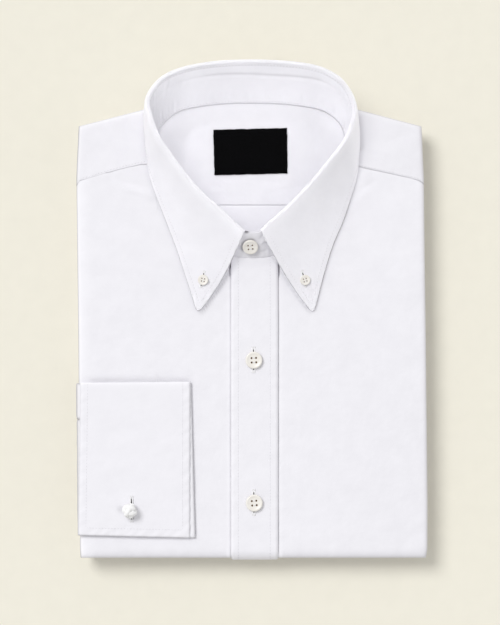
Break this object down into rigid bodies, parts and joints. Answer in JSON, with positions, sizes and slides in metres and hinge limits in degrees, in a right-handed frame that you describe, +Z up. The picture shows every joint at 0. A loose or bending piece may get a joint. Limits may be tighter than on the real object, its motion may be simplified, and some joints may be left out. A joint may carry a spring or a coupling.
{
  "type": "folded dress shirt",
  "caption": "Long sleeve dress shirt folded flat for a shelf, with a button-down collar standing open, a front placket and one turned cuff laid across the front and closed by a knot link.",
  "frame": {"origin": "middle of the bounding box at its underside, where the folded shirt rests", "axes": "+Y from the lower fold towards the collar, +X towards the wearer's left, +Z up from the surface that it lies on"},
  "size_m": [0.2395, 0.3389, 0.046],
  "materials": {
    "shirt_cotton": "white cotton poplin, pressed",
    "button_shell": "off-white pearly shell, polished",
    "label": "black woven ribbon, bare",
    "silk_knot": "white braided silk cord"
  },
  "bodies": {
    "root": {"folded_layers": "shirt_cotton", "front_right": "shirt_cotton", "front_left": "shirt_cotton", "placket": "shirt_cotton", "yoke_outer": "shirt_cotton", "yoke_inner": "shirt_cotton", "back_inside": "shirt_cotton", "neck_label": "label", "collar_stand": "shirt_cotton", "collar_leaf": "shirt_cotton", "cuff_turnback": "shirt_cotton", "cuff_inner": "shirt_cotton", "sleeve": "shirt_cotton", "sleeve_pleat": "shirt_cotton", "button_chest_1": "button_shell", "button_chest_2": "button_shell", "button_collar_right": "button_shell", "button_collar_left": "button_shell", "button_neckband": "button_shell", "cufflink_knot": "silk_knot"}
  },
  "joints": []
}
